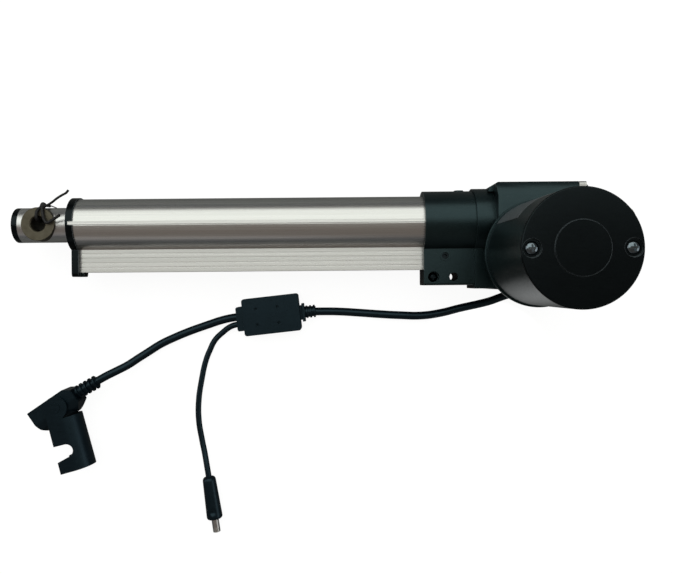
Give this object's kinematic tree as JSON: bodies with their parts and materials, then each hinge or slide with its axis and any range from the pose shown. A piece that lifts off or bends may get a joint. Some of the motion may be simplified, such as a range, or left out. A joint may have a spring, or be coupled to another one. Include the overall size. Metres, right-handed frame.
{
  "type": "linear actuator",
  "caption": "Electric linear actuator: a worm-geared motor across its end drives a screw that slides a rod out of an aluminium profile, with a corded connector and charging plug.",
  "frame": {"origin": "centre of the rear mounting bore, on the spindle's axis", "axes": "+X from the rod towards the rear bracket, +Z along the motor's axis towards its cap, and the cords lie towards -Y on the surface at z = -30 mm"},
  "size_m": [0.4395, 0.2567, 0.146],
  "materials": {
    "aluminium_profile": "extruded, drawn satin with fine lengthwise lines",
    "aluminium_rod": "polished tube",
    "black_plastic": "moulded glass-filled nylon, satin",
    "black_cap": "moulded, satin black",
    "cord_black": "soft black PVC sheath",
    "sintered_bush": "sintered steel, brown-grey",
    "plain_steel": "zinc-plated steel",
    "black_screw": "blackened steel",
    "white_nylon": "natural acetal",
    "grey_label": "blank grey foil label",
    "magnet": "ferrite",
    "copper": "enamelled copper",
    "brass": "plain brass",
    "carbon": "carbon brush",
    "board": "circuit board",
    "switch_red": "red plunger",
    "phenolic": "phenolic board",
    "rubber_seal": "nitrile rubber"
  },
  "bodies": {
    "housing": {"outer_profile": "aluminium_profile", "profile_end_cap": "black_cap", "rod_guide_bush": "white_nylon", "rod_wiper": "rubber_seal", "profile_clamp": "black_plastic", "clamp_screw": "black_screw", "clamp_set_screw": "black_screw", "gearbox_housing": "black_plastic", "gearbox_cover": "black_plastic", "rear_bracket": "plain_steel", "bracket_screws": "black_screw", "rear_bushes": "sintered_bush", "spindle_front_bearing": "plain_steel", "spindle_rear_bearing": "plain_steel", "motor_base": "black_plastic", "motor_shell": "black_plastic", "motor_end_cap": "black_cap", "motor_cap_screws": "black_screw", "rating_label": "grey_label", "motor_can": "plain_steel", "motor_magnets": "magnet", "motor_bearings": "plain_steel", "brush_holder": "phenolic", "brushes": "carbon", "limit_board": "board", "limit_switches": "black_plastic", "cable_gland": "black_plastic", "main_cord": "cord_black", "splitter_box": "cord_black", "splitter_strain_relief": "cord_black", "branch_cord": "cord_black", "connector_strain_relief": "cord_black", "connector_body": "cord_black", "connector_contacts": "brass", "dc_cord": "cord_black", "dc_plug_body": "cord_black", "dc_plug_barrel": "plain_steel"},
    "rod": {"rod_tube": "aluminium_rod", "rod_end_plug": "black_cap", "rod_eye_bush": "sintered_bush", "drive_nut": "white_nylon", "switch_cam": "black_plastic"},
    "spindle_set": {"spindle": "plain_steel", "spindle_tip_guide": "white_nylon", "worm_wheel": "white_nylon", "spindle_locknut": "plain_steel"},
    "rotor": {"motor_shaft": "plain_steel", "worm": "plain_steel", "armature_core": "plain_steel", "armature_windings": "copper", "commutator": "copper"},
    "clip": {"connector_clip": "cord_black"},
    "rear_plunger": {"rear_switch_plunger": "switch_red"},
    "front_plunger": {"front_switch_plunger": "switch_red"}
  },
  "joints": [
    {"name": "motor_spin", "type": "hinge", "parent": "housing", "child": "rotor", "pos_m": [-0.0636, -0.0243, 0], "axis": [0, 0, 1], "range_deg": [0, 168000]},
    {"name": "spindle_spin", "type": "hinge", "parent": "housing", "child": "spindle_set", "pos_m": [-0.1, 0, 0], "axis": [1, 0, 0], "range_deg": [0, 6000]},
    {"name": "rod_slide", "type": "slide", "parent": "housing", "child": "rod", "axis": [-1, 0, 0], "range_m": [0, 0.2]},
    {"name": "clip_swing", "type": "hinge", "parent": "housing", "child": "clip", "pos_m": [-0.4067, -0.1332, -0.018], "axis": [0, 0, 1], "range_deg": [-71, 0]},
    {"name": "rear_switch_press", "type": "slide", "parent": "housing", "child": "rear_plunger", "axis": [0, -1, 0], "range_m": [0, 0.0006], "stiffness_N_per_m": 300},
    {"name": "front_switch_press", "type": "slide", "parent": "housing", "child": "front_plunger", "axis": [0, -1, 0], "range_m": [0, 0.0006], "stiffness_N_per_m": 300}
  ],
  "couplings": [
    {"joint": "spindle_spin", "follows": "motor_spin", "ratio": 0.035714},
    {"joint": "rod_slide", "follows": "motor_spin", "m_per_rad": 0.000068209}
  ]
}
